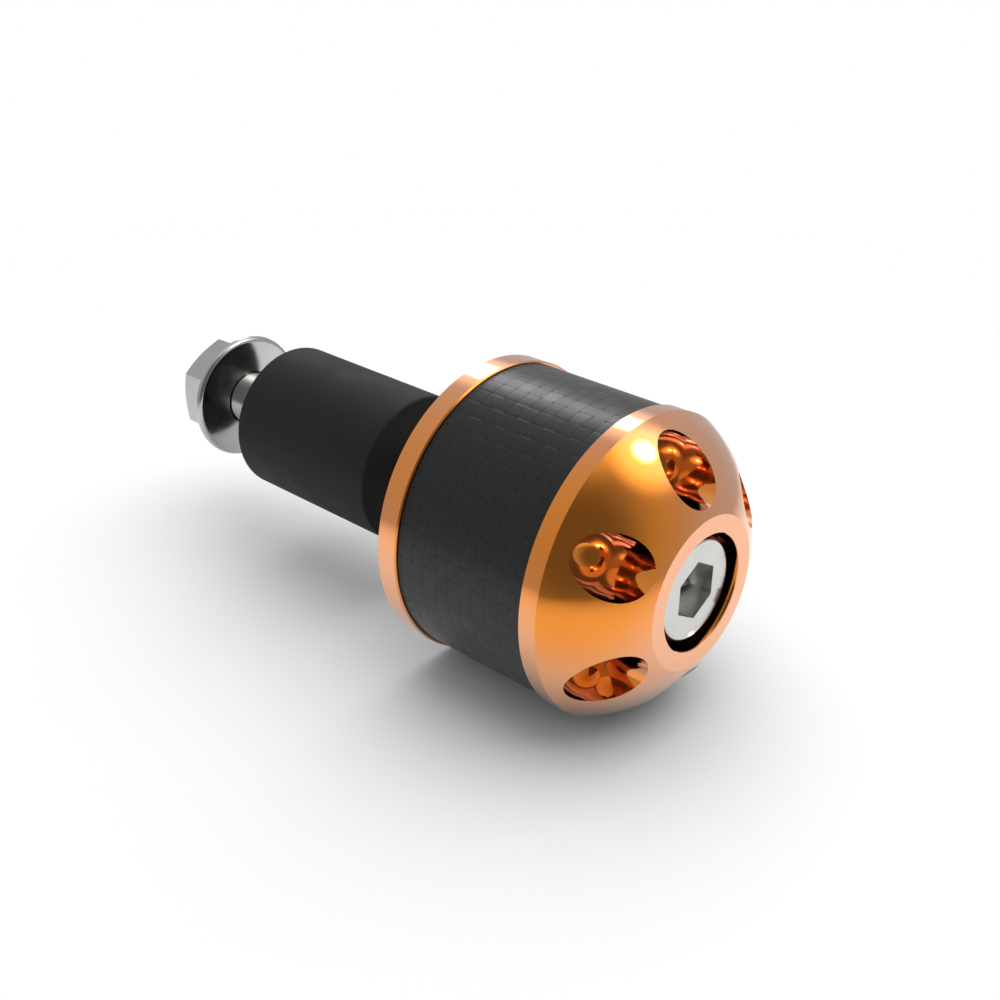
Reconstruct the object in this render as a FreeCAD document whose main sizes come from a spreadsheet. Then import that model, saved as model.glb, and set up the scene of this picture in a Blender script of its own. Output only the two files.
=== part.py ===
import FreeCAD, Part
import os
import re
import Sketcher

# Bar end weight with an expanding plug: a drilled dome, a carbon sleeve and a rear flange make the
# head, and one long screw draws a flange nut against a rubber expander inside the handlebar.
# Millimetres, +Z up. +X is the long axis, from the handlebar out to the dome. The origin is the
# centre of the flange's back face, which seats on the end of the handlebar.

doc = FreeCAD.newDocument("bar_end")

# ---- Sizes ------------------------------------------------------------------------------------
SIZES = [
    ("rim_radius", "15", "gold rims of the dome and of the flange"),
    ("flange_width", "2.4", "rear flange along the axis"),
    ("sleeve_length", "15.1", "carbon sleeve between the two rims"),
    ("rim_width", "1.9", "cylindrical rim of the dome"),
    ("dome_rise", "6.9", "rim crease to front face"),
    ("dome_sagitta", "0.95", "bulge of the dome's profile over its chord"),
    ("face_radius", "7.5", "outer edge of the flat front face"),
    ("head_gap", "0.8", "recess round the screw head, radially"),
    ("sleeve_recess", "0.3", "sleeve lower than the rims"),
    ("sleeve_wall", "1.7", "thickness of the sleeve"),
    ("sleeve_gap", "0.05", "radial gap, sleeve over core"),
    ("edge_break", "0.15", "small chamfer on the flange's rim"),
    ("boss_radius", "7", "flange boss, pressed into the core"),
    ("boss_length", "3", "boss in front of the flange"),
    ("boss_gap", "0.2", "axial gap in front of the boss"),
    ("pocket_radius", "2.93", "round pocket with a ball end"),
    ("pocket_circle", "11.3", "pitch radius of the pockets"),
    ("pocket_count", "6", "pockets round the dome"),
    ("pocket_depth", "8", "front face plane to the bottom of a pocket"),
    ("shank_radius", "3", "M6 screw shank"),
    ("shank_length", "65", "under the head"),
    ("screw_gap", "0.08", "running gap round the shank"),
    ("tip_chamfer", "0.5", "start of the thread"),
    ("head_radius", "4.9", "socket screw head"),
    ("head_height", "6", "socket screw head"),
    ("head_chamfer", "0.35", "top edge of the head"),
    ("head_recess", "0.7", "head below the front face"),
    ("key_width", "5.1", "hexagon socket across its flats"),
    ("key_depth", "3", "hexagon socket, flats only"),
    ("key_cone", "1.4", "drill point under the socket"),
    ("expander_radius", "8", "rubber expander, relaxed"),
    ("expander_length", "20", "rubber expander, relaxed"),
    ("expander_gap", "0.3", "radial gap round the shank"),
    ("expander_edge", "0.25", "chamfer at its ends"),
    ("front_travel", "9.5", "free shank, flange to expander"),
    ("rear_travel", "7.5", "free shank, expander to nut"),
    ("nut_height", "6", "M6 flange nut"),
    ("nut_width", "10", "across its flats"),
    ("nut_gap", "0.05", "running gap on the thread"),
    ("nut_cone_back", "2.4", "bearing face to the foot of the flange's cone"),
    ("nut_cone_inset", "0.4", "cone's small end inside the flats"),
    ("nut_edge_back", "1.35", "bearing face to the back edge of the flange's rim"),
    ("nut_edge_radius", "6.8", "back edge of the flange's rim"),
    ("nut_rim_round", "0.56", "rounding of the flange's rim"),
    ("nut_rim_radius", "6.6", "front edge of the rim's rounding"),
    ("nut_step", "0.15", "groove inside the rim"),
    ("nut_bevel", "0.3", "rise of the bearing face to its centre"),
    ("nut_mouth", "0.5", "countersink of the thread"),
    ("hex_chamfer", "0.6", "far corners of the hexagon"),
]

DERIVED = [
    ("dome_back", "=flange_width + sleeve_length"),
    ("crease_x", "=dome_back + rim_width"),
    ("front_x", "=crease_x + dome_rise"),
    ("dome_chord", "=sqrt(dome_rise ^ 2 + (rim_radius - face_radius) ^ 2)"),
    ("dome_round", "=dome_chord ^ 2 / (8 * dome_sagitta) + dome_sagitta / 2"),
    ("sleeve_outer", "=rim_radius - sleeve_recess"),
    ("sleeve_inner", "=sleeve_outer - sleeve_wall"),
    ("core_radius", "=sleeve_inner - sleeve_gap"),
    ("screw_bore", "=shank_radius + screw_gap"),
    ("counterbore_radius", "=head_radius + head_gap"),
    ("seat_x", "=front_x - head_recess - head_height"),
    ("pocket_ball_x", "=front_x - pocket_depth + pocket_radius"),
    ("pocket_edge", "=pocket_circle + pocket_radius"),
    ("nut_bore", "=shank_radius + nut_gap"),
    ("nut_rim_x", "=nut_height - nut_bevel"),
    ("nut_cone_x", "=nut_height - nut_cone_back"),
    ("nut_edge_x", "=nut_height - nut_edge_back"),
    ("nut_corner", "=nut_width / sqrt(3)"),
    ("nut_cone_radius", "=nut_width / 2 - nut_cone_inset"),
]

sheet = doc.addObject("Spreadsheet::Sheet", "Sizes")
for row, (alias, value, meaning) in enumerate(SIZES, start=1):
    sheet.set(f"A{row}", meaning)
    sheet.set(f"B{row}", value)
    sheet.setAlias(f"B{row}", alias)
doc.recompute()
for row, (alias, formula) in enumerate(DERIVED, start=len(SIZES) + 1):
    sheet.set(f"B{row}", formula)
    sheet.setAlias(f"B{row}", alias)
    doc.recompute()


def size(expression):
    """Value of an expression over the sheet's aliases, in millimetres."""
    return float(sheet.evalExpression(expression))


def bound(expression):
    """The same expression as an object outside the sheet has to write it."""
    return re.sub(r"\b([a-z]\w*)\b(?!\()", r"Sizes.\1", expression)


# ---- Building blocks --------------------------------------------------------------------------
def new_body(name):
    body = doc.addObject("PartDesign::Body", name)
    body.Label = name
    return body


def origin_part(body, role):
    return next(o for o in body.Origin.OriginFeatures if o.Role == role)


def new_sketch(body, name, plane, offset=None):
    """Sketch on one of the body's own planes, optionally moved along +X by an expression."""
    sketch = body.newObject("Sketcher::SketchObject", name)
    sketch.AttachmentSupport = (origin_part(body, plane), [""])
    sketch.MapMode = "FlatFace"
    if offset:
        sketch.setExpression("AttachmentOffset.Base.z", bound(offset))
    return sketch


def fix(sketch, kind, geometry, point, expression):
    """Holds a point's distance from the sketch's origin, or a curve's radius, at an expression."""
    value = size(expression)
    if kind == "Radius":
        index = sketch.addConstraint(Sketcher.Constraint(kind, geometry, value))
    else:
        index = sketch.addConstraint(Sketcher.Constraint(kind, -1, 1, geometry, point, value))
    sketch.setExpression(f"Constraints[{index}]", bound(expression))


def fix_point(sketch, geometry, point, x, y):
    for kind, expression in (("DistanceX", x), ("DistanceY", y)):
        if expression == "0":
            axis = -2 if kind == "DistanceX" else -1
            sketch.addConstraint(Sketcher.Constraint("PointOnObject", geometry, point, axis))
        else:
            fix(sketch, kind, geometry, point, expression)


def bulge_arc(start, end, radius):
    """Arc of that radius from start to end, with the smaller bulge on the left of the way along."""
    a = FreeCAD.Vector(*start, 0)
    b = FreeCAD.Vector(*end, 0)
    half = (b - a) / 2
    left = FreeCAD.Vector(-half.y, half.x, 0).normalize()
    sagitta = radius - (radius**2 - half.Length**2) ** 0.5
    return Part.Arc(a, a + half + left * sagitta, b)


def outline(sketch, corners):
    """Closed outline through (x, y) expressions. A third entry is the radius of the arc that
    leads on to the next corner, bulging to the left."""
    places = [(size(c[0]), size(c[1])) for c in corners]
    count = len(corners)
    first = sketch.GeometryCount
    ends = []
    for i, corner in enumerate(corners):
        a, b = places[i], places[(i + 1) % count]
        if len(corner) == 3:
            arc = bulge_arc(a, b, size(corner[2]))
            index = sketch.addGeometry(arc, False)
            start = sketch.getPoint(index, 1)
            straight = (start - FreeCAD.Vector(*a, 0)).Length < 1e-6
            ends.append((1, 2) if straight else (2, 1))
            fix(sketch, "Radius", index, 0, corner[2])
        else:
            line = Part.LineSegment(FreeCAD.Vector(*a, 0), FreeCAD.Vector(*b, 0))
            sketch.addGeometry(line, False)
            ends.append((1, 2))
    for i, corner in enumerate(corners):
        after = (i + 1) % count
        sketch.addConstraint(
            Sketcher.Constraint("Coincident", first + i, ends[i][1], first + after, ends[after][0])
        )
        fix_point(sketch, first + i, ends[i][0], corner[0], corner[1])


def hexagon(sketch, across):
    """Regular hexagon about the sketch's origin, one corner up, with its flats at that width."""
    corner = f"{across} / sqrt(3)"
    signs = ((0, 1), (-1, 0.5), (-1, -0.5), (0, -1), (1, -0.5), (1, 0.5))
    r = size(across) / 3**0.5
    points = [FreeCAD.Vector(sx * size(across) / 2, sy * r, 0) for sx, sy in signs]
    first = sketch.GeometryCount
    for a, b in zip(points, points[1:] + points[:1]):
        sketch.addGeometry(Part.LineSegment(a, b), False)
    circle = sketch.addGeometry(Part.Circle(FreeCAD.Vector(), FreeCAD.Vector(0, 0, 1), r), True)
    sketch.addConstraint(Sketcher.Constraint("Coincident", circle, 3, -1, 1))
    fix(sketch, "Radius", circle, 0, corner)
    for i in range(6):
        after = first + (i + 1) % 6
        sketch.addConstraint(Sketcher.Constraint("Coincident", first + i, 2, after, 1))
        sketch.addConstraint(Sketcher.Constraint("PointOnObject", first + i, 1, circle))
        if i:
            sketch.addConstraint(Sketcher.Constraint("Equal", first, first + i))
    sketch.addConstraint(Sketcher.Constraint("PointOnObject", first, 1, -2))


def circle_about_origin(sketch, radius):
    centre, normal = FreeCAD.Vector(), FreeCAD.Vector(0, 0, 1)
    index = sketch.addGeometry(Part.Circle(centre, normal, size(radius)), False)
    sketch.addConstraint(Sketcher.Constraint("Coincident", index, 3, -1, 1))
    fix(sketch, "Radius", index, 0, radius)


def feature(body, kind, name, sketch, **properties):
    """PartDesign feature from a sketch, made the body's tip."""
    made = body.newObject(f"PartDesign::{kind}", name)
    made.Profile = sketch
    for key, value in properties.items():
        setattr(made, key, value)
    sketch.Visibility = False
    doc.recompute()
    body.Tip = made
    return made


def turned(body, name, corners, kind="Revolution"):
    """Profile of (x, radius) corners turned about the X axis."""
    sketch = new_sketch(body, name + "_profile", "XZ_Plane")
    outline(sketch, corners)
    return feature(body, kind, name, sketch, ReferenceAxis=(sketch, ["H_Axis"]), Angle=360)


# ---- Dome: rim, domed front, core under the sleeve and seat for the screw head ---------------
dome = new_body("dome")
turned(
    dome,
    "dome_turning",
    [
        ("flange_width", "boss_radius"),
        ("flange_width", "core_radius"),
        ("dome_back", "core_radius"),
        ("dome_back", "rim_radius"),
        ("crease_x", "rim_radius", "dome_round"),
        ("front_x", "face_radius"),
        ("front_x", "counterbore_radius"),
        ("seat_x", "counterbore_radius"),
        ("seat_x", "screw_bore"),
        ("flange_width + boss_length + boss_gap", "screw_bore"),
        ("flange_width + boss_length + boss_gap", "boss_radius"),
    ],
)

# One ball-ended pocket, drilled along the axis of the dome, and its pattern round the screw.
pocket_sketch = new_sketch(dome, "pocket_profile", "XZ_Plane")
axis_start = FreeCAD.Vector(size("pocket_ball_x"), size("pocket_circle"), 0)
axis_end = FreeCAD.Vector(size("front_x"), size("pocket_circle"), 0)
drill_axis = pocket_sketch.addGeometry(Part.LineSegment(axis_start, axis_end), True)
fix_point(pocket_sketch, drill_axis, 1, "pocket_ball_x", "pocket_circle")
fix_point(pocket_sketch, drill_axis, 2, "front_x", "pocket_circle")
outline(
    pocket_sketch,
    [
        ("front_x", "pocket_circle"),
        ("front_x - pocket_depth", "pocket_circle", "pocket_radius"),
        ("pocket_ball_x", "pocket_edge"),
        ("front_x", "pocket_edge"),
    ],
)
pocket = feature(
    dome, "Groove", "pocket", pocket_sketch, ReferenceAxis=(pocket_sketch, ["Axis0"]), Angle=360
)
ring = dome.newObject("PartDesign::PolarPattern", "pocket_ring")
ring.Originals = [pocket]
ring.Axis = (origin_part(dome, "X_Axis"), [""])
ring.Angle = 360
ring.setExpression("Occurrences", "Sizes.pocket_count")
dome.Tip = ring

# ---- Carbon sleeve, held endways between the dome's rim and the flange -----------------------
sleeve = new_body("sleeve")
turned(
    sleeve,
    "sleeve_tube",
    [
        ("flange_width", "sleeve_inner"),
        ("flange_width", "sleeve_outer"),
        ("dome_back", "sleeve_outer"),
        ("dome_back", "sleeve_inner"),
    ],
)

# ---- Rear flange with the boss that is pressed into the core ---------------------------------
flange = new_body("flange")
turned(
    flange,
    "flange_turning",
    [
        ("0", "screw_bore"),
        ("0", "rim_radius - edge_break"),
        ("edge_break", "rim_radius"),
        ("flange_width", "rim_radius"),
        ("flange_width", "boss_radius"),
        ("flange_width + boss_length", "boss_radius"),
        ("flange_width + boss_length", "screw_bore"),
    ],
)

# ---- Socket head screw, drawn from its tip ---------------------------------------------------
screw = new_body("screw")
turned(
    screw,
    "screw_turning",
    [
        ("0", "0"),
        ("0", "shank_radius - tip_chamfer"),
        ("tip_chamfer", "shank_radius"),
        ("shank_length", "shank_radius"),
        ("shank_length", "head_radius"),
        ("shank_length + head_height - head_chamfer", "head_radius"),
        ("shank_length + head_height", "head_radius - head_chamfer"),
        ("shank_length + head_height", "0"),
    ],
)
socket_sketch = new_sketch(screw, "socket_outline", "YZ_Plane", "shank_length + head_height")
hexagon(socket_sketch, "key_width")
socket = feature(screw, "Pocket", "socket", socket_sketch)
socket.setExpression("Length", "Sizes.key_depth")
doc.recompute()
turned(
    screw,
    "socket_point",
    [
        ("shank_length + head_height - key_depth - key_cone", "0"),
        ("shank_length + head_height - key_depth", "key_width / 2"),
        ("shank_length + head_height - key_depth", "0"),
    ],
    kind="Groove",
)
screw.setExpression("Placement.Base.x", bound("seat_x - shank_length"))

# ---- Rubber expander, loose on the shank -----------------------------------------------------
expander = new_body("expander")
turned(
    expander,
    "expander_tube",
    [
        ("0", "shank_radius + expander_gap"),
        ("0", "expander_radius - expander_edge"),
        ("expander_edge", "expander_radius"),
        ("expander_length - expander_edge", "expander_radius"),
        ("expander_length", "expander_radius - expander_edge"),
        ("expander_length", "shank_radius + expander_gap"),
    ],
)
expander.setExpression("Placement.Base.x", bound("0 - front_travel - expander_length"))

# ---- Flange nut, drawn from the far face of its hexagon --------------------------------------
nut = new_body("flange_nut")
turned(
    nut,
    "nut_flange",
    [
        ("nut_cone_x", "nut_bore"),
        ("nut_cone_x", "nut_cone_radius"),
        ("nut_edge_x", "nut_edge_radius", "nut_rim_round"),
        ("nut_rim_x", "nut_rim_radius"),
        ("nut_rim_x", "nut_rim_radius - nut_step"),
        ("nut_height", "nut_bore + nut_mouth"),
        ("nut_height - nut_mouth", "nut_bore"),
    ],
)
hex_sketch = new_sketch(nut, "nut_outline", "YZ_Plane")
hexagon(hex_sketch, "nut_width")
circle_about_origin(hex_sketch, "nut_bore")
hex_pad = feature(nut, "Pad", "nut_hexagon", hex_sketch)
hex_pad.setExpression("Length", bound("nut_cone_x + nut_step"))
doc.recompute()
turned(
    nut,
    "nut_corners",
    [
        ("0", "nut_corner - hex_chamfer * sqrt(3)"),
        ("hex_chamfer * 2", "nut_corner + hex_chamfer * sqrt(3)"),
        ("0", "nut_corner + hex_chamfer * sqrt(3)"),
    ],
    kind="Groove",
)
nut.setExpression(
    "Placement.Base.x", bound("0 - front_travel - expander_length - rear_travel - nut_height")
)

# ---- Checks and export -----------------------------------------------------------------------
doc.recompute()
for item in doc.Objects:
    if "Invalid" in item.State or "Error" in item.State:
        raise RuntimeError(f"{item.Label} is {item.State}")

os.makedirs("parts", exist_ok=True)
for body in (dome, sleeve, flange, screw, expander, nut):
    if body.Shape.isNull() or not body.Shape.isValid():
        raise RuntimeError(f"{body.Label} has no valid shape")
    body.Shape.exportStep(f"parts/{body.Label}.step")
    low, high = body.Shape.BoundBox.XMin, body.Shape.BoundBox.XMax
    print(f"{body.Label}: x {low:.2f} to {high:.2f}, {body.Shape.Volume:.1f} mm3")
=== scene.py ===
# %% [markdown]
# # A handlebar end weight, drawn in and polished
#
# This notebook gives its looks to a bar end weight: a drilled gold dome, a carbon sleeve and a rear
# flange on one long socket screw, with a rubber expander and a flange nut at the far end. The CAD
# frame holds every size and every joint. Blender adds what CAD leaves out: rounded edges, a real
# screw thread, turning marks, woven carbon under lacquer, moulded rubber and a small white studio.
# All the metal parts are lathe work, so one helper that turns an outline does most of the modelling.

# %% Load the fixed frame
import math

import bpy
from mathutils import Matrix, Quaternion, Vector


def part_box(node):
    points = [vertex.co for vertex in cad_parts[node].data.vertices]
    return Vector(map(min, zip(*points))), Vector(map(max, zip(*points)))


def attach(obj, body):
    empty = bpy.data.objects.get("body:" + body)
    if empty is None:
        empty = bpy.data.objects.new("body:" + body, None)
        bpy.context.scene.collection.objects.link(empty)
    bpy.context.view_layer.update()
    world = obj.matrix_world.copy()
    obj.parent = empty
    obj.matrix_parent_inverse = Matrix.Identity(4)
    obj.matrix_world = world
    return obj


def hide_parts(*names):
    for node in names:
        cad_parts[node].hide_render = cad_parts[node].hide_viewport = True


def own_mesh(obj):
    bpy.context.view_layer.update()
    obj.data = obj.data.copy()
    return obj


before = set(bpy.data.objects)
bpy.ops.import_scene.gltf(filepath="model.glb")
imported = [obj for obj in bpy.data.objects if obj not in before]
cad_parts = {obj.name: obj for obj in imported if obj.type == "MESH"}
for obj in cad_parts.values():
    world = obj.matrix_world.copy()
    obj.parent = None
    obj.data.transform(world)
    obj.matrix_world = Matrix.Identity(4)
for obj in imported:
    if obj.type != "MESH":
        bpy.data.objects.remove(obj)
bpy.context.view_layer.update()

MM = 0.001

# %% [markdown]
# ## Sizes
#
# Places come from the frame's own boxes, so a piece stays right when the CAD model is changed and
# packed again. The long axis is X, with the dome at its high end. Only what a box can't tell, such
# as the pockets' radius, is named here with the value that the design uses.

# %% Places along the axis, from the frame
def span(node):
    """Lowest x, highest x and outer radius of a CAD node, in metres."""
    low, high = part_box(node)
    return low.x, high.x, high.z


DOME_BACK, FRONT, RIM_RADIUS = span("dome")
SLEEVE_BACK, SLEEVE_FRONT, SLEEVE_RADIUS = span("sleeve")
FLANGE_BACK, BOSS_FRONT, _ = span("flange")
TIP, HEAD_FRONT, HEAD_RADIUS = span("screw")
RUBBER_BACK, RUBBER_FRONT, RUBBER_RADIUS = span("expander")
NUT_FAR, NUT_FACE, _ = span("flange_nut")
print(f"rims {RIM_RADIUS / MM:.1f} mm, dome front at {FRONT / MM:.1f} mm")

# %% Sizes inside a piece
RIM_WIDTH = 1.9 * MM
FACE_RADIUS = 7.5 * MM
DOME_SAGITTA = 0.95 * MM
HEAD_GAP = 0.8 * MM
SLEEVE_WALL = 1.7 * MM
SLEEVE_GAP = 0.05 * MM
BOSS_RADIUS = 7 * MM
BOSS_GAP = 0.2 * MM
SCREW_BORE = 3.08 * MM
POCKET_RADIUS = 2.93 * MM
POCKET_CIRCLE = 11.3 * MM
POCKET_DEPTH = 8 * MM
POCKET_COUNT = 6
HEAD_HEIGHT = 6 * MM
SHANK_RADIUS = 3 * MM
KEY_WIDTH = 5.1 * MM
KEY_DEPTH = 3 * MM
KEY_CONE = 1.4 * MM
RUBBER_BORE = 3.3 * MM
SEAT = HEAD_FRONT - HEAD_HEIGHT
CORE_RADIUS = SLEEVE_RADIUS - SLEEVE_WALL - SLEEVE_GAP

# %% [markdown]
# ## The camera
#
# A product shot of a small part is taken from near by, so the perspective is strong: the dome looms
# and the nut shrinks. The camera is placed on a sphere round its aim point by two angles and a
# distance, which is easier to reason about than a matrix, and then rolled by about a degree.

# %% Camera
VIEW_AZIMUTH = math.radians(-48.46)
VIEW_ELEVATION = math.radians(27.44)
VIEW_ROLL = math.radians(1.12)
VIEW_DISTANCE = 139.3 * MM
AIM = Vector((1.09, 0.93, -0.05)) * MM
LENS = 49.86
SENSOR_WIDTH = 36
NEAREST_SHOWN = 1 * MM


def direction(azimuth, elevation):
    """Unit vector at an angle from +X towards +Y and an angle above the horizon."""
    flat = math.cos(elevation)
    return Vector((flat * math.cos(azimuth), flat * math.sin(azimuth), math.sin(elevation)))


towards_camera = direction(VIEW_AZIMUTH, VIEW_ELEVATION)
camera_data = bpy.data.cameras.new("studio_camera")
camera_data.lens = LENS
camera_data.sensor_width = SENSOR_WIDTH
camera_data.clip_start = NEAREST_SHOWN
camera = bpy.data.objects.new("studio_camera", camera_data)
bpy.context.scene.collection.objects.link(camera)
camera.location = AIM + towards_camera * VIEW_DISTANCE
camera.rotation_mode = "QUATERNION"
level = (-towards_camera).to_track_quat("-Z", "Y")
camera.rotation_quaternion = level @ Quaternion((0, 0, 1), VIEW_ROLL)
bpy.context.scene.camera = camera
print("camera at", tuple(round(c, 4) for c in camera.location))

# %% [markdown]
# ## Turning an outline
#
# On a lathe the work spins and the tool follows an outline. In Blender the outline is drawn by
# extruding one vertex from corner to corner, and the spin operator carries it round the axis. The
# doubles at the seam and on the axis are merged, and then the normals are made to point outwards.

# %% Helpers in edit mode
SPIN_STEPS = 192
MERGE_DISTANCE = 0.0005 * MM
FULL_TURN = 2 * math.pi


def select_only(piece):
    bpy.ops.object.select_all(action="DESELECT")
    piece.select_set(True)
    bpy.context.view_layer.objects.active = piece


def draw_outline(name, corners):
    """A wire through (x, radius) corners, made from one vertex, left in edit mode."""
    bpy.ops.object.select_all(action="DESELECT")
    bpy.ops.mesh.primitive_plane_add(size=1 * MM, location=(0, 0, 0))
    bpy.context.object.name = name
    bpy.ops.object.mode_set(mode="EDIT")
    bpy.ops.mesh.merge(type="CENTER")
    bpy.ops.transform.translate(value=(corners[0][0], 0, corners[0][1]))
    for (x, radius), (next_x, next_radius) in zip(corners, corners[1:]):
        step = (next_x - x, 0, next_radius - radius)
        bpy.ops.mesh.extrude_region_move(TRANSFORM_OT_translate={"value": step})
    return bpy.context.object


def tidy_in_edit_mode():
    bpy.ops.mesh.select_all(action="SELECT")
    bpy.ops.mesh.remove_doubles(threshold=MERGE_DISTANCE)
    bpy.ops.mesh.normals_make_consistent(inside=False)


def turn_on_lathe(name, corners, steps=SPIN_STEPS):
    """Solid of revolution about X. The outline is closed here, unless it starts on the axis."""
    on_axis = corners[0][1] == 0
    piece = draw_outline(name, corners if on_axis else corners + corners[:1])
    bpy.ops.mesh.select_all(action="SELECT")
    bpy.ops.mesh.spin(steps=steps, angle=FULL_TURN, center=(0, 0, 0), axis=(1, 0, 0))
    tidy_in_edit_mode()
    bpy.ops.object.mode_set(mode="OBJECT")
    return piece


def arc_corners(start, end, sagitta, steps):
    """Corners of an arc from start to end that bulges outwards by the sagitta."""
    (x0, r0), (x1, r1) = start, end
    chord = Vector((x1 - x0, r1 - r0))
    radius = chord.length**2 / (8 * sagitta) + sagitta / 2
    inwards = Vector((chord.y, -chord.x)).normalized()
    centre = Vector(start) + chord / 2 + inwards * (radius - sagitta)
    first = math.atan2(r0 - centre.y, x0 - centre.x)
    last = math.atan2(r1 - centre.y, x1 - centre.x)
    angles = [first + (last - first) * i / steps for i in range(steps + 1)]
    return [(centre.x + radius * math.cos(a), centre.y + radius * math.sin(a)) for a in angles]


# %% [markdown]
# ## Edges and shading
#
# No machined edge is truly sharp. A narrow chamfer, or five segments where the round can be seen,
# gives each edge its thin line of light. Smoothing stops at real creases, and weighted normals keep
# the wide faces flat, so a round shades only itself.

# %% Helpers that apply modifiers
SMOOTH_ANGLE = math.radians(20)
EDGE_ANGLE = math.radians(40)
ROUND_SEGMENTS = 5
FAVOUR_WIDE_FACES = 100


def apply_modifier(piece, kind, **settings):
    select_only(piece)
    modifier = piece.modifiers.new(kind.title(), kind)
    for key, value in settings.items():
        setattr(modifier, key, value)
    bpy.ops.object.modifier_apply(modifier=modifier.name)


def round_edges(piece, width, segments=1):
    """Breaks every sharp edge. One segment is a chamfer, more make a round."""
    apply_modifier(
        piece, "BEVEL", width=width, segments=segments, limit_method="ANGLE",
        angle_limit=EDGE_ANGLE, use_clamp_overlap=True,
    )


def cut_or_join(piece, tool, operation):
    """Boolean with a tool that is used up."""
    apply_modifier(piece, "BOOLEAN", object=tool, operation=operation, solver="EXACT")
    bpy.data.objects.remove(tool)


def finish_piece(piece, body, node):
    """Smooths the turned faces, keeps flat faces flat and ties the piece to the frame."""
    select_only(piece)
    bpy.ops.object.shade_smooth_by_angle(angle=SMOOTH_ANGLE)
    apply_modifier(piece, "WEIGHTED_NORMAL", keep_sharp=True, weight=FAVOUR_WIDE_FACES)
    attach(piece, body)
    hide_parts(node)
    faces = len(piece.data.polygons)
    print(f"{piece.name}: {faces} faces, {piece.dimensions.x / MM:.1f} mm long")


# %% [markdown]
# ## The dome
#
# The dome is one aluminium turning: a core under the sleeve, a short rim, a bulging cone and a flat
# front ring with a recess for the screw head. Six ball-ended pockets are then milled along its
# axis. They could be modelled into the mesh by hand, but the mill's own way is shorter and exact:
# a tool the shape of the cutter is subtracted six times. The lathe mesh is made fine first, so
# that the cuts leave only slivers of faces with nearly the surface's own normal.

# %% Dome turning
EDGE_BREAK = 0.07 * MM
ARC_STEPS = 30

crease = (SLEEVE_FRONT + RIM_WIDTH, RIM_RADIUS)
front_corner = (FRONT, FACE_RADIUS)
core_recess = BOSS_FRONT + BOSS_GAP
dome = turn_on_lathe(
    "dome_turned",
    [
        (DOME_BACK, BOSS_RADIUS),
        (DOME_BACK, CORE_RADIUS),
        (SLEEVE_FRONT, CORE_RADIUS),
        (SLEEVE_FRONT, RIM_RADIUS),
        *arc_corners(crease, front_corner, DOME_SAGITTA, ARC_STEPS),
        (FRONT, HEAD_RADIUS + HEAD_GAP),
        (SEAT, HEAD_RADIUS + HEAD_GAP),
        (SEAT, SCREW_BORE),
        (core_recess, SCREW_BORE),
        (core_recess, BOSS_RADIUS),
    ],
    steps=2 * SPIN_STEPS,
)
round_edges(dome, EDGE_BREAK)


# %% Pockets
CUTTER_STEPS = 72
BALL_STEPS = 18
CUTTER_OVERRUN = 1 * MM


def pocket_cutter(index):
    """Ball-ended cutter, standing in one pocket's place round the axis."""
    ball_centre = FRONT - POCKET_DEPTH + POCKET_RADIUS
    quarter = [math.pi / 2 * i / BALL_STEPS for i in range(BALL_STEPS + 1)]
    ball = [
        (ball_centre - POCKET_RADIUS * math.cos(a), POCKET_RADIUS * math.sin(a)) for a in quarter
    ]
    shank_end = [(FRONT + CUTTER_OVERRUN, POCKET_RADIUS), (FRONT + CUTTER_OVERRUN, 0)]
    ball[0] = (ball[0][0], 0)
    cutter = turn_on_lathe(f"cutter_{index}", ball + shank_end, steps=CUTTER_STEPS)
    angle = FULL_TURN * index / POCKET_COUNT
    place = Vector((0, -math.sin(angle), math.cos(angle))) * POCKET_CIRCLE
    select_only(cutter)
    bpy.ops.transform.translate(value=place)
    bpy.ops.object.transform_apply(location=True)
    return cutter


for index in range(POCKET_COUNT):
    cut_or_join(dome, pocket_cutter(index), "DIFFERENCE")
finish_piece(dome, "head", "dome")

# %% [markdown]
# ## The sleeve and the rear flange
#
# The carbon tube is rolled from cloth and ground to length, so it is a plain tube with barely
# broken ends, and its interest is all in the weave. The flange is a turned ring with a boss that is
# pressed into the dome's core.

# %% Sleeve
SLEEVE_EDGE = 0.06 * MM

sleeve = turn_on_lathe(
    "sleeve_woven",
    [
        (SLEEVE_BACK, SLEEVE_RADIUS - SLEEVE_WALL),
        (SLEEVE_BACK, SLEEVE_RADIUS),
        (SLEEVE_FRONT, SLEEVE_RADIUS),
        (SLEEVE_FRONT, SLEEVE_RADIUS - SLEEVE_WALL),
    ],
)
round_edges(sleeve, SLEEVE_EDGE)
finish_piece(sleeve, "head", "sleeve")

# %% Flange
FLANGE_EDGE = 2 * EDGE_BREAK

flange = turn_on_lathe(
    "flange_turned",
    [
        (FLANGE_BACK, SCREW_BORE),
        (FLANGE_BACK, RIM_RADIUS),
        (SLEEVE_BACK, RIM_RADIUS),
        (SLEEVE_BACK, BOSS_RADIUS),
        (BOSS_FRONT, BOSS_RADIUS),
        (BOSS_FRONT, SCREW_BORE),
    ],
)
round_edges(flange, FLANGE_EDGE)
finish_piece(flange, "head", "flange")

# %% [markdown]
# ## The screw
#
# An M6 socket screw is a headed wire with a forged hexagon socket and a rolled thread. The blank is
# turned, the socket is cut by a hexagonal bar with a pointed end, and the thread is a ridge that
# the Screw modifier sweeps up a helix, one pitch for every turn. The ridge is a closed strip, so
# after its two ends are capped it can be joined to the thinner core by a Boolean.

# %% Screw blank
PITCH = 1 * MM
THREAD_DEPTH = 0.61 * MM
THREAD_SINK = 0.1 * MM
HEAD_EDGE = 0.2 * MM
TIP_CHAMFER = 0.5 * MM
SCREW_STEPS = 96
THREAD_END = NUT_FACE
ROOT_RADIUS = SHANK_RADIUS - THREAD_DEPTH

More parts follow.
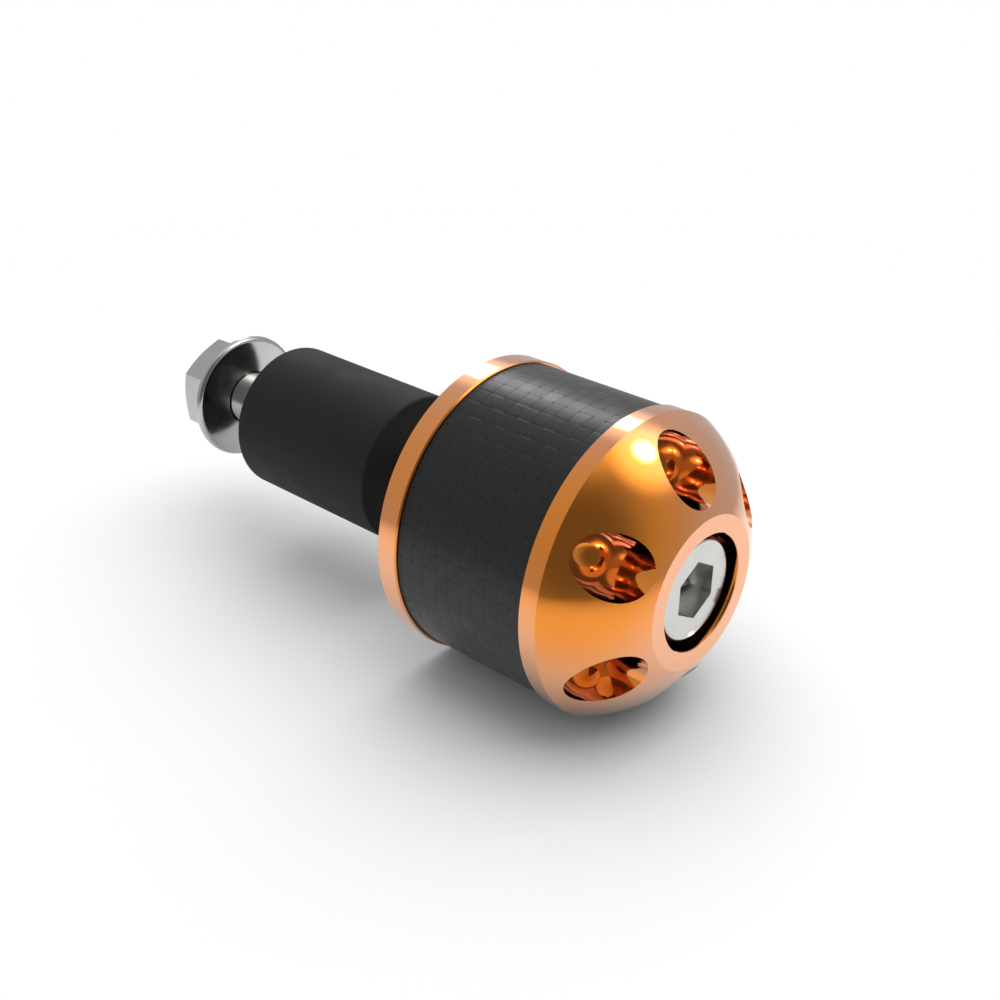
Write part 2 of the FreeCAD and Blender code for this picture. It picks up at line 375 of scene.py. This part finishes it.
screw = turn_on_lathe(
    "screw_socket_head",
    [
        (TIP, 0),
        (TIP, ROOT_RADIUS),
        (THREAD_END - THREAD_DEPTH, ROOT_RADIUS),
        (THREAD_END, SHANK_RADIUS),
        (SEAT, SHANK_RADIUS),
        (SEAT, HEAD_RADIUS),
        (HEAD_FRONT, HEAD_RADIUS),
        (HEAD_FRONT, 0),
    ],
    steps=SCREW_STEPS,
)
round_edges(screw, HEAD_EDGE, segments=ROUND_SEGMENTS)


# %% Socket
QUARTER_TURN = math.radians(90)
CORNER_UP = math.radians(30)
POINT_STEPS = 72


def hexagonal_bar(name, low_x, high_x, across_flats):
    """Six-sided bar along X with one corner up."""
    bpy.ops.object.select_all(action="DESELECT")
    bpy.ops.mesh.primitive_cylinder_add(
        vertices=6, radius=across_flats / math.sqrt(3), depth=high_x - low_x,
        location=((low_x + high_x) / 2, 0, 0), rotation=(0, QUARTER_TURN, 0),
    )
    bar = bpy.context.object
    bar.name = name
    bpy.ops.object.transform_apply(location=True, rotation=True)
    bpy.ops.transform.rotate(value=CORNER_UP, orient_axis="X", center_override=(0, 0, 0))
    bpy.ops.object.transform_apply(rotation=True)
    return bar


socket_floor = HEAD_FRONT - KEY_DEPTH
punch = hexagonal_bar("punch", socket_floor, HEAD_FRONT + CUTTER_OVERRUN, KEY_WIDTH)
point = turn_on_lathe(
    "punch_point",
    [
        (socket_floor - KEY_CONE, 0),
        (socket_floor, KEY_WIDTH / 2),
        (socket_floor + KEY_CONE, KEY_WIDTH / 2 - KEY_CONE / 2),
        (socket_floor + KEY_CONE, 0),
    ],
    steps=POINT_STEPS,
)
cut_or_join(screw, punch, "DIFFERENCE")
cut_or_join(screw, point, "DIFFERENCE")

# %% Thread
CREST = PITCH / 8
FLANK = 5 * PITCH / 16
THREAD_STEPS = 64
CREST_TRIM = 0.01 * MM
MOST_CORNERS = 8
THREAD_TURNS = round((THREAD_END - TIP) / PITCH) - 1

ridge = draw_outline(
    "thread_ridge",
    [
        (TIP, ROOT_RADIUS - THREAD_SINK),
        (TIP + FLANK, SHANK_RADIUS),
        (TIP + FLANK + CREST, SHANK_RADIUS),
        (TIP + 2 * FLANK + CREST, ROOT_RADIUS - THREAD_SINK),
        (TIP, ROOT_RADIUS - THREAD_SINK),
    ],
)
tidy_in_edit_mode()
bpy.ops.object.mode_set(mode="OBJECT")
apply_modifier(
    ridge, "SCREW", axis="X", angle=FULL_TURN, screw_offset=PITCH, iterations=THREAD_TURNS,
    steps=THREAD_STEPS, render_steps=THREAD_STEPS, use_merge_vertices=True, use_smooth_shade=False,
)
bpy.ops.object.mode_set(mode="EDIT")
bpy.ops.mesh.select_all(action="SELECT")
bpy.ops.mesh.fill_holes(sides=MOST_CORNERS)
tidy_in_edit_mode()
bpy.ops.object.mode_set(mode="OBJECT")
envelope = turn_on_lathe(
    "thread_envelope",
    [
        (TIP, 0),
        (TIP, SHANK_RADIUS - TIP_CHAMFER),
        (TIP + TIP_CHAMFER, SHANK_RADIUS - CREST_TRIM),
        (THREAD_END, SHANK_RADIUS - CREST_TRIM),
        (THREAD_END, 0),
    ],
    steps=SCREW_STEPS,
)
cut_or_join(ridge, envelope, "INTERSECT")
cut_or_join(screw, ridge, "UNION")
finish_piece(screw, "screw", "screw")

# %% [markdown]
# ## The rubber expander
#
# The expander is a moulded rubber tube. When the screw is turned, the nut first pushes it up to the
# flange and then squeezes it, and it shortens by an eighth. In Blender it rides its own CAD body.

# %% Expander
RUBBER_EDGE = 0.3 * MM
RUBBER_RINGS = 24

wall_x = [
    RUBBER_BACK + (RUBBER_FRONT - RUBBER_BACK) * i / RUBBER_RINGS for i in range(RUBBER_RINGS + 1)
]
expander = turn_on_lathe(
    "expander_moulded",
    [(RUBBER_BACK, RUBBER_BORE)]
    + [(x, RUBBER_RADIUS) for x in wall_x]
    + [(RUBBER_FRONT, RUBBER_BORE)],
)
round_edges(expander, RUBBER_EDGE, segments=ROUND_SEGMENTS)
finish_piece(expander, "expander", "expander")
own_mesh(expander)

# %% [markdown]
# ## The flange nut
#
# A flange nut is a hexagon and a round flange in one piece. The hexagon's far corners are turned
# off by a cone, which leaves the curved edges that every nut has: here the hexagonal bar is
# intersected with a turned envelope, and the result is joined to the turned flange.

# %% Flange of the nut
NUT_WIDTH = 10 * MM
NUT_CORNER = NUT_WIDTH / math.sqrt(3)
NUT_BORE = 3.05 * MM
NUT_CONE_BACK = 2.4 * MM
NUT_CONE_RADIUS = 4.6 * MM
NUT_EDGE_BACK = 1.35 * MM
NUT_EDGE_RADIUS = 6.8 * MM
NUT_RIM_ROUND = 0.56 * MM
NUT_RIM_RADIUS = 6.6 * MM
NUT_STEP = 0.15 * MM
NUT_BEVEL = 0.3 * MM
NUT_MOUTH = 0.12 * MM
HEX_CHAMFER = 0.6 * MM
NUT_EDGE = 0.05 * MM
RIM_STEPS = 10

edge_back = (NUT_FACE - NUT_EDGE_BACK, NUT_EDGE_RADIUS)
edge_front = (NUT_FACE - NUT_BEVEL, NUT_RIM_RADIUS)
rim_chord = (Vector(edge_front) - Vector(edge_back)).length
rim_sagitta = NUT_RIM_ROUND - math.sqrt(NUT_RIM_ROUND**2 - rim_chord**2 / 4)
nut = turn_on_lathe(
    "nut_flanged",
    [
        (NUT_FACE - NUT_CONE_BACK, NUT_BORE),
        (NUT_FACE - NUT_CONE_BACK, NUT_CONE_RADIUS),
        *arc_corners(edge_back, edge_front, rim_sagitta, RIM_STEPS),
        (NUT_FACE - NUT_BEVEL, NUT_RIM_RADIUS - NUT_STEP),
        (NUT_FACE, NUT_BORE + NUT_MOUTH),
        (NUT_FACE - NUT_MOUTH, NUT_BORE),
    ],
)

# %% Hexagon of the nut
hex_end = NUT_FACE - NUT_CONE_BACK + NUT_STEP
corner_slope = HEX_CHAMFER * math.sqrt(3)
hexagon = hexagonal_bar("nut_hexagon", NUT_FAR, hex_end, NUT_WIDTH)
corner_envelope = turn_on_lathe(
    "nut_corner_envelope",
    [
        (NUT_FAR, NUT_BORE),
        (NUT_FAR, NUT_CORNER - corner_slope),
        (NUT_FAR + 2 * HEX_CHAMFER, NUT_CORNER + corner_slope),
        (hex_end + CUTTER_OVERRUN, NUT_CORNER + corner_slope),
        (hex_end + CUTTER_OVERRUN, NUT_BORE),
    ],
)
cut_or_join(hexagon, corner_envelope, "INTERSECT")
cut_or_join(nut, hexagon, "UNION")
round_edges(nut, NUT_EDGE)
finish_piece(nut, "nut", "flange_nut")

# %% [markdown]
# ## Node groups that several finishes share
#
# Small parts need fine detail, or they look like plastic toys. Three effects come back in several
# finishes, so each is a node group: turning marks, which are fine rings round the axis; haze, which
# is the slow change of gloss that handling leaves; and plain weave, the over-and-under pattern of
# carbon cloth. A small writer keeps the node code short.

# %% A writer for node trees
class Nodes:
    """Adds nodes to a tree and links their inputs by name or number."""

    def __init__(self, tree):
        self.tree = tree

    def add(self, kind, inputs=None, **settings):
        node = self.tree.nodes.new(kind)
        for key, value in settings.items():
            setattr(node, key, value)
        for key, value in (inputs or {}).items():
            self.put(node.inputs[key], value)
        return node

    def put(self, socket, value):
        if isinstance(value, bpy.types.NodeSocket):
            self.tree.links.new(value, socket)
        else:
            socket.default_value = value

    def math(self, operation, first, second=0.0, third=0.0):
        inputs = {0: first, 1: second, 2: third}
        return self.add("ShaderNodeMath", inputs, operation=operation).outputs[0]

    def noise(self, vector, scale, detail=2.0, roughness=0.5):
        inputs = {"Vector": vector, "Scale": scale, "Detail": detail, "Roughness": roughness}
        return self.add("ShaderNodeTexNoise", inputs).outputs[0]

    def vector(self, x, y, z):
        return self.add("ShaderNodeCombineXYZ", {0: x, 1: y, 2: z}).outputs[0]

    def map_range(self, value, low, high, to_low=0.0, to_high=1.0):
        inputs = {"Value": value, 1: low, 2: high, 3: to_low, 4: to_high}
        return self.add("ShaderNodeMapRange", inputs, interpolation_type="SMOOTHSTEP").outputs[0]


def new_group(name, inputs, outputs):
    """Shader node group with named float inputs and outputs, and a writer for its inside."""
    group = bpy.data.node_groups.new(name, "ShaderNodeTree")
    for socket_name, default in inputs.items():
        socket = group.interface.new_socket(
            socket_name, in_out="INPUT", socket_type="NodeSocketFloat"
        )
        socket.default_value = default
    for socket_name in outputs:
        group.interface.new_socket(
            socket_name, in_out="OUTPUT", socket_type="NodeSocketFloat"
        )
    write = Nodes(group)
    return group, write, write.add("NodeGroupInput").outputs, write.add("NodeGroupOutput").inputs


def object_place(write):
    """X, Y and Z of the shaded point on the piece, in metres, and the whole vector."""
    place = write.add("ShaderNodeTexCoord").outputs["Object"]
    split = write.add("ShaderNodeSeparateXYZ", {0: place}).outputs
    return split[0], split[1], split[2], place


# %% [markdown]
# ### Turning marks
#
# A lathe tool leaves rings, close together and never quite even. They follow the distance from the
# axis on a face and the place along the axis on a cylinder. Noise that is read at (x, radius) and
# hardly at all round the axis gives both at once.

# %% Group: turning marks
DRIFT_ROUND = 0.35
MARK_DETAIL = 3.0
MARK_CONTRAST = 0.65


def build_turning_marks():
    inputs = {"Rings per mm": 6.0}
    group, write, given, result = new_group("turning_marks", inputs, ["Height"])
    x, y, z, _ = object_place(write)
    flat = write.vector(0.0, y, z)
    radius = write.add("ShaderNodeVectorMath", {0: flat}, operation="LENGTH").outputs["Value"]
    angle = write.math("ARCTAN2", y, z)
    per_metre = write.math("MULTIPLY", given["Rings per mm"], 1 / MM)
    along = write.math("MULTIPLY", x, per_metre)
    across = write.math("MULTIPLY", radius, per_metre)
    drift = write.math("MULTIPLY", angle, DRIFT_ROUND)
    place = write.vector(along, across, drift)
    rings = write.noise(place, 1.0, detail=MARK_DETAIL, roughness=MARK_CONTRAST)
    write.put(result["Height"], rings)
    return group


TURNING_MARKS = build_turning_marks()
print("group:", TURNING_MARKS.name)

# %% [markdown]
# ### Haze
#
# Even a new part has slightly uneven gloss, from anodising, plating or a thumb. Two sizes of soft
# noise are added up, one of a few millimetres and one far finer, to give a mask about 0.5.

# %% Group: haze
FINER = 14.0
FINE_SHARE = 0.35
HAZE_RANGE = (0.32, 0.68)


def build_haze():
    group, write, given, result = new_group("haze", {"Patch per mm": 0.3}, ["Mask"])
    place = object_place(write)[3]
    scale = write.math("MULTIPLY", given["Patch per mm"], 1 / MM)
    broad = write.noise(place, scale, detail=2.0)
    fine = write.noise(place, write.math("MULTIPLY", scale, FINER), detail=3.0)
    broad_part = write.math("MULTIPLY", broad, 1 - FINE_SHARE)
    both = write.math("MULTIPLY_ADD", fine, FINE_SHARE, broad_part)
    write.put(result["Mask"], write.map_range(both, *HAZE_RANGE))
    return group


HAZE = build_haze()
print("group:", HAZE.name)

# %% [markdown]
# ### Plain weave
#
# In a plain weave every flat tow of fibres goes over one crossing tow and under the next, so the
# surface is a chequerboard. Cells are counted along the axis and round it, and where their sum is
# even the tow that runs along the axis is on top. A tow is nearly flat, a little crowned across its
# width, and dips only where it goes under its neighbour. That leaves a small step at the side of
# each cell, which catches light on one side and shade on the other, and a pinhole at each corner.

# %% Group: plain weave
TOWS_ROUND = 56
TOW_WIDTH = 1.5 * MM
WEAVE_START = SLEEVE_BACK + 0.5 * MM
WEAVE_TURN = 1.55
CROWN_SHAPE = 4.0
CROWN_FALL = -0.3
DIP_SHAPE = 9.0
DIP_FALL = -0.7
LEAN_RANGE = 0.5
PINHOLE_RANGE = (0.72, 0.96)
FIBRES_ACROSS = 24.0
FIBRES_ALONG = 1.5
CELL_SHIFT = (7.3, 3.1)
CELL_OUTPUTS = ["Height", "Pinhole", "Fibre", "Cell"]


def build_weave():
    group, write, given, result = new_group("plain_weave", {"Tow width": TOW_WIDTH}, CELL_OUTPUTS)
    x, y, z, _ = object_place(write)
    u = write.math("DIVIDE", write.math("SUBTRACT", x, WEAVE_START), given["Tow width"])
    turn = write.math("DIVIDE", write.math("ARCTAN2", y, z), FULL_TURN)
    v = write.math("MULTIPLY_ADD", turn, float(TOWS_ROUND), WEAVE_TURN)
    cell_u = write.math("FLOOR", u)
    cell_v = write.math("FLOOR", v)
    part_u = write.math("SUBTRACT", u, cell_u)
    part_v = write.math("SUBTRACT", v, cell_v)
    around = write.math("FLOORED_MODULO", write.math("ADD", cell_u, cell_v), 2.0)

    def choose(if_along, if_around):
        mix = write.add("ShaderNodeMix", {"Factor": around, "A": if_along, "B": if_around})
        return mix.outputs[0]

    def from_middle(part):
        return write.math("ABSOLUTE", write.math("MULTIPLY_ADD", part, 2.0, -1.0))

    off_u = from_middle(part_u)
    off_v = from_middle(part_v)
    crown = write.math("MULTIPLY", write.math("POWER", choose(off_v, off_u), CROWN_SHAPE), CROWN_FALL)
    dip = write.math("MULTIPLY", write.math("POWER", choose(off_u, off_v), DIP_SHAPE), DIP_FALL)
    cell = write.add("ShaderNodeTexWhiteNoise", {"Vector": write.vector(cell_u, cell_v, around)})
    chance = cell.outputs["Value"]
    lean = write.math("MULTIPLY_ADD", chance, LEAN_RANGE, -LEAN_RANGE / 2)
    tilted = write.math("MULTIPLY_ADD", part_v, lean, write.math("ADD", crown, dip))
    write.put(result["Height"], write.math("ADD", tilted, 1.0))
    corner = write.math("MULTIPLY", off_u, off_v)
    write.put(result["Pinhole"], write.map_range(corner, *PINHOLE_RANGE))
    shift_v = write.math("MULTIPLY", cell_v, CELL_SHIFT[1])
    fibres = write.vector(
        write.math("MULTIPLY", choose(part_v, part_u), FIBRES_ACROSS),
        write.math("MULTIPLY", choose(part_u, part_v), FIBRES_ALONG),
        write.math("MULTIPLY_ADD", cell_u, CELL_SHIFT[0], shift_v),
    )
    write.put(result["Fibre"], write.noise(fibres, 1.0, detail=2.0))
    write.put(result["Cell"], chance)
    return group


WEAVE = build_weave()
print(f"group: {WEAVE.name}, {TOWS_ROUND} tows round, each {TOW_WIDTH / MM:.1f} mm wide")

# %% [markdown]
# ## Finishes
#
# Each finish is one Principled shader. What is the same all over the surface is set on the shader's
# own sockets, and only what changes from place to place is linked.

# %% A start for every finish
def new_finish(name, **sockets):
    """Material with one Principled shader, its plain sockets set, and a writer for its tree."""
    finish = bpy.data.materials.new(name)
    finish.use_nodes = True
    write = Nodes(finish.node_tree)
    shader = finish.node_tree.nodes["Principled BSDF"]
    for socket_name, value in sockets.items():
        shader.inputs[socket_name.replace("_", " ")].default_value = value
    return finish, write, shader.inputs


def place_group(write, group, **inputs):
    node = write.add("ShaderNodeGroup", node_tree=group)
    for socket_name, value in inputs.items():
        write.put(node.inputs[socket_name.replace("_", " ")], value)
    return node.outputs


def tint(write, factor, first, second):
    """Colour between two by a mask. Each is a colour socket or three numbers."""
    mix = write.add("ShaderNodeMix", {"Factor": factor}, data_type="RGBA")
    for index, colour in ((6, first), (7, second)):
        is_socket = isinstance(colour, bpy.types.NodeSocket)
        write.put(mix.inputs[index], colour if is_socket else (*colour, 1.0))
    return mix.outputs[2]


def bump(write, height, distance, strength=1.0, under=None):
    node = write.add("ShaderNodeBump", {"Height": height, "Distance": distance})
    node.inputs["Strength"].default_value = strength
    if under is not None:
        write.put(node.inputs["Normal"], under)
    return node.outputs[0]


def cover(piece, finish):
    piece.data.materials.clear()
    piece.data.materials.append(finish)
    print(f"{finish.name} covers {piece.name}")


# %% [markdown]
# ### Gold anodising
#
# Anodising turns the skin of the aluminium into a clear, dyed oxide. Seen face on it is deep orange,
# because the light goes through the dye twice. At a glancing angle the oxide's own gloss takes over
# and it turns pale. A metal with a dense coat does the same, where Layer Weight lets the coat's
# gloss come up towards the outline. The pockets are what makes the part glow, because light bounces
# in them several times. With one base colour it would turn pure red, so what is seen in another
# surface has a duller base: a choice made for the looks.

# %% Finish: gold anodising
GOLD_SHADES = ((0.87, 0.270, 0.020), (0.90, 0.285, 0.025))
SECOND_BOUNCE = (0.66, 0.39, 0.29)
GOLD_ROUGHNESS = (0.045, 0.06)
GOLD_MARK_GLOSS = 0.03
GOLD_MARK_DEPTH = 0.0005 * MM
COAT_TURN = (0.12, 0.48)
COAT_WEIGHTS = (0.10, 1.0)


def build_gold():
    finish, write, into = new_finish(
        "gold_anodising", Metallic=1.0, Coat_Roughness=0.05, Coat_IOR=2.8,
    )
    haze = place_group(write, HAZE, Patch_per_mm=0.22)["Mask"]
    marks = place_group(write, TURNING_MARKS, Rings_per_mm=9.0)["Height"]
    seen_first = tint(write, haze, *GOLD_SHADES)
    seen_again = write.add("ShaderNodeLightPath").outputs["Is Glossy Ray"]
    write.put(into["Base Color"], tint(write, seen_again, seen_first, SECOND_BOUNCE))
    satin = write.map_range(haze, 0.0, 1.0, *GOLD_ROUGHNESS)
    write.put(into["Roughness"], write.math("MULTIPLY_ADD", marks, GOLD_MARK_GLOSS, satin))
    write.put(into["Normal"], bump(write, marks, GOLD_MARK_DEPTH, 0.5))
    facing = write.add("ShaderNodeLayerWeight", {"Blend": 0.5}).outputs["Facing"]
    write.put(into["Coat Weight"], write.map_range(facing, *COAT_TURN, *COAT_WEIGHTS))
    return finish


gold = build_gold()
cover(dome, gold)
cover(flange, gold)

# %% [markdown]
# ### Carbon under lacquer
#
# The cloth itself is nearly black, and the lacquer over it follows the tows a little, so what shows
# is the edge of each brick and a small change of gloss from brick to brick.

# %% Finish: carbon
FIBRE_SHADES = ((0.0055, 0.0055, 0.0057), (0.0125, 0.0125, 0.0130))
PINHOLE_SHADE = (0.002, 0.002, 0.002)
CLOTH_ROUGHNESS = 0.36
CELL_GLOSS = 0.12
HAZE_GLOSS = 0.05
LACQUER = 0.3
LACQUER_LOST = -0.25
CLOTH_RELIEF = 0.05 * MM
FIBRE_RELIEF = 0.004 * MM


def build_carbon():
    finish, write, into = new_finish(
        "carbon_weave", Metallic=0.0, Coat_Roughness=0.2, Specular_IOR_Level=0.2,
    )
    weave = place_group(write, WEAVE)
    haze = place_group(write, HAZE, Patch_per_mm=0.4)["Mask"]
    fibre = tint(write, weave["Fibre"], *FIBRE_SHADES)
    write.put(into["Base Color"], tint(write, weave["Pinhole"], fibre, PINHOLE_SHADE))
    gloss = write.math("MULTIPLY_ADD", weave["Cell"], CELL_GLOSS, CLOTH_ROUGHNESS)
    write.put(into["Roughness"], write.math("MULTIPLY_ADD", haze, HAZE_GLOSS, gloss))
    lacquer = write.math("MULTIPLY_ADD", weave["Pinhole"], LACQUER_LOST, LACQUER)
    write.put(into["Coat Weight"], lacquer)
    cloth = bump(write, weave["Height"], CLOTH_RELIEF, 1.0)
    write.put(into["Normal"], bump(write, weave["Fibre"], FIBRE_RELIEF, 0.6, under=cloth))
    return finish


carbon = build_carbon()
cover(sleeve, carbon)

# %% [markdown]
# ### Rubber
#
# Moulded rubber is matte, because the mould is blasted. It is never quite black, and dust dulls it
# in soft patches.

# %% Finish: rubber
RUBBER_SHADES = ((0.011, 0.011, 0.011), (0.016, 0.016, 0.016))
RUBBER_ROUGHNESS = (0.58, 0.68)
GRAINS_PER_MM = 9.0
GRAIN_RELIEF = 0.012 * MM


def build_rubber():
    finish, write, into = new_finish("moulded_rubber", Metallic=0.0, Specular_IOR_Level=0.2)
    haze = place_group(write, HAZE, Patch_per_mm=0.25)["Mask"]
    place = object_place(write)[3]
    grain = write.noise(place, GRAINS_PER_MM / MM, detail=3.0, roughness=0.6)
    write.put(into["Base Color"], tint(write, haze, *RUBBER_SHADES))
    write.put(into["Roughness"], write.map_range(haze, 0.0, 1.0, *RUBBER_ROUGHNESS))
    write.put(into["Normal"], bump(write, grain, GRAIN_RELIEF, 0.6))
    return finish


rubber = build_rubber()
cover(expander, rubber)

# %% [markdown]
# ### Steel and zinc
#
# The screw is bright, finely faced steel, and its shank behind the seat is painted lighter than the
# head: painted light, standing in for a brighter reflection than the studio gives it. The nut is
# plated, a little greyer and softer, and its bearing face shows the rings of the tool that faced it.

# %% Finishes: steels
SCREW_SHADES = ((0.60, 0.60, 0.585), (0.63, 0.63, 0.615))
SCREW_ROUGHNESS = (0.16, 0.19)
NUT_SHADES = ((0.50, 0.497, 0.485), (0.53, 0.527, 0.515))
NUT_ROUGHNESS = (0.09, 0.13)
# Painted light: the shank behind the head's seat gets a lighter steel shade, standing in for a
# brighter reflection.
SHANK_PAINTED_LIGHT = (0.82, 0.82, 0.80)
STEEL_MARK_GLOSS = 0.06
STEEL_MARK_DEPTH = 0.0006 * MM


def build_steel(name, shades, roughness, rings, shank_painted_light=None):
    """Steel finish. A shank painted light, if given, is a lighter steel shade on the shank behind the
    head's seat: painted light, for a brighter reflection than the studio gives the shank.
    """
    finish, write, into = new_finish(name, Metallic=1.0)
    haze = place_group(write, HAZE, Patch_per_mm=0.6)["Mask"]
    marks = place_group(write, TURNING_MARKS, Rings_per_mm=rings)["Height"]
    colour = tint(write, haze, *shades)
    # Painted light: the shank is coloured lighter than the head, though both are one steel.
    if shank_painted_light:
        painted_light_mask = write.math("LESS_THAN", object_place(write)[0], SEAT)
        colour = tint(write, painted_light_mask, colour, shank_painted_light)
    write.put(into["Base Color"], colour)
    gloss = write.map_range(haze, 0.0, 1.0, *roughness)
    write.put(into["Roughness"], write.math("MULTIPLY_ADD", marks, STEEL_MARK_GLOSS, gloss))
    write.put(into["Normal"], bump(write, marks, STEEL_MARK_DEPTH, 0.5))
    return finish


cover(screw, build_steel("bright_steel", SCREW_SHADES, SCREW_ROUGHNESS, 7.0, SHANK_PAINTED_LIGHT))
cover(nut, build_steel("plated_steel", NUT_SHADES, NUT_ROUGHNESS, 5.0))

# %% [markdown]
# ## The studio
#
# Polished metal shows its surroundings, so the studio is designed as what the metal should see:
# a pale floor that fades into a white sweep, mid-grey walls, a dark patch on the camera's left that
# gives the dome its depth, and two bright lamps, at the right and behind. All of that is a world
# shader built from soft lobes. Only shiny surfaces see the lobes, and a large softbox overhead, which
# only matte surfaces see, makes the soft shadow. The camera sees the sweep as white.

# %% World
WALL_LEVEL = 0.52
CEILING_LEVEL = 0.62
SWEEP_LEVEL = 1.0
# azimuth, elevation, radius of the even middle, outer radius (all in degrees), brightness
WORLD_LOBES = (
    (0, 90, 5, 38, 1.0),
    (-50, 25, 15, 74, 0.17),
    (47, 53, 4, 34, 2.2),
    (49, 55, 0, 24, 2.4),
    (49, 55, 0, 10, 24.0),
    (137, 34, 4, 24, 1.4),
    (137, 34, 2, 11, 8.0),
)
HORIZON = -0.15
LOBE_SHAPE = 2.0


def build_world():
    world = bpy.data.worlds.new("studio_walls")
    bpy.context.scene.world = world
    world.use_nodes = True
    write = Nodes(world.node_tree)
    seen = write.add("ShaderNodeTexCoord").outputs["Generated"]
    height = write.add("ShaderNodeSeparateXYZ", {0: seen}).outputs[2]
    level_now = write.map_range(height, HORIZON, 1.0, WALL_LEVEL, CEILING_LEVEL)
    rays = write.add("ShaderNodeLightPath").outputs
    even_level = level_now
    for azimuth, elevation, inner, outer, target in WORLD_LOBES:
        axis = direction(math.radians(azimuth), math.radians(elevation))
        product = write.add("ShaderNodeVectorMath", {0: seen, 1: axis}, operation="DOT_PRODUCT")
        near = write.map_range(
            product.outputs["Value"], math.cos(math.radians(outer)), math.cos(math.radians(inner))
        )
        soft = write.math("POWER", near, LOBE_SHAPE)
        mix = write.add("ShaderNodeMix", {"Factor": soft, "A": level_now, "B": target})
        level_now = mix.outputs[0]
    diffuse_ray = rays["Is Diffuse Ray"]
    lit = write.add("ShaderNodeMix", {"Factor": diffuse_ray, "A": level_now, "B": even_level})
    shown = write.add(
        "ShaderNodeMix", {"Factor": rays["Is Camera Ray"], "A": lit.outputs[0], "B": SWEEP_LEVEL}
    )
    background = world.node_tree.nodes["Background"]
    write.put(background.inputs["Strength"], shown.outputs[0])
    background.inputs["Color"].default_value = (1.0, 1.0, 1.0, 1.0)
    world.cycles.sampling_method = "NONE"


build_world()
print(len(WORLD_LOBES), "lobes in the world")

# %% Softbox
LIGHT_DISTANCE = 420 * MM
LIGHT_RADIUS = 400 * MM
LIGHT_BRIGHTNESS = 1.30
LIGHT_AZIMUTH = 90
LIGHT_ELEVATION = 71


def softbox(name, azimuth, elevation):
    """Large round area light. The metal shows the world's lobes in its place."""
    away = direction(math.radians(azimuth), math.radians(elevation))
    bpy.ops.object.light_add(type="AREA", location=away * LIGHT_DISTANCE)
    light = bpy.context.object
    light.name = name
    light.data.shape = "DISK"
    light.data.size = 2 * LIGHT_RADIUS
    light.data.energy = LIGHT_BRIGHTNESS * math.pi**2 * LIGHT_RADIUS**2
    light.rotation_euler = (-away).to_track_quat("-Z", "Y").to_euler()
    light.visible_glossy = False


softbox("softbox_above", LIGHT_AZIMUTH, LIGHT_ELEVATION)
print(f"softbox {2 * LIGHT_RADIUS / MM:.0f} mm across, {LIGHT_DISTANCE / MM:.0f} mm away")

# %% Floor
FLOOR_SIZE = 500 * MM
FLOOR_EVEN = 50 * MM
FLOOR_END = 150 * MM
FLOOR_SHADE = (0.92, 0.92, 0.92, 1.0)
FLOOR_ROUGHNESS = 0.7


def build_floor():
    """Pale disc that melts into the white sweep around it."""
    bpy.ops.object.select_all(action="DESELECT")
    bpy.ops.mesh.primitive_plane_add(size=FLOOR_SIZE, location=(0, 0, -RIM_RADIUS))
    floor = bpy.context.object
    floor.name = "floor"
    finish, write, into = new_finish("pale_floor", Metallic=0.0, Roughness=FLOOR_ROUGHNESS)
    place = object_place(write)[3]
    distance = write.add("ShaderNodeVectorMath", {0: place}, operation="LENGTH").outputs["Value"]
    write.put(into["Alpha"], write.map_range(distance, FLOOR_EVEN, FLOOR_END, 1.0, 0.0))
    into["Base Color"].default_value = FLOOR_SHADE
    cover(floor, finish)


build_floor()
bpy.context.scene.view_settings.view_transform = "Standard"
bpy.context.scene.cycles.caustics_reflective = False
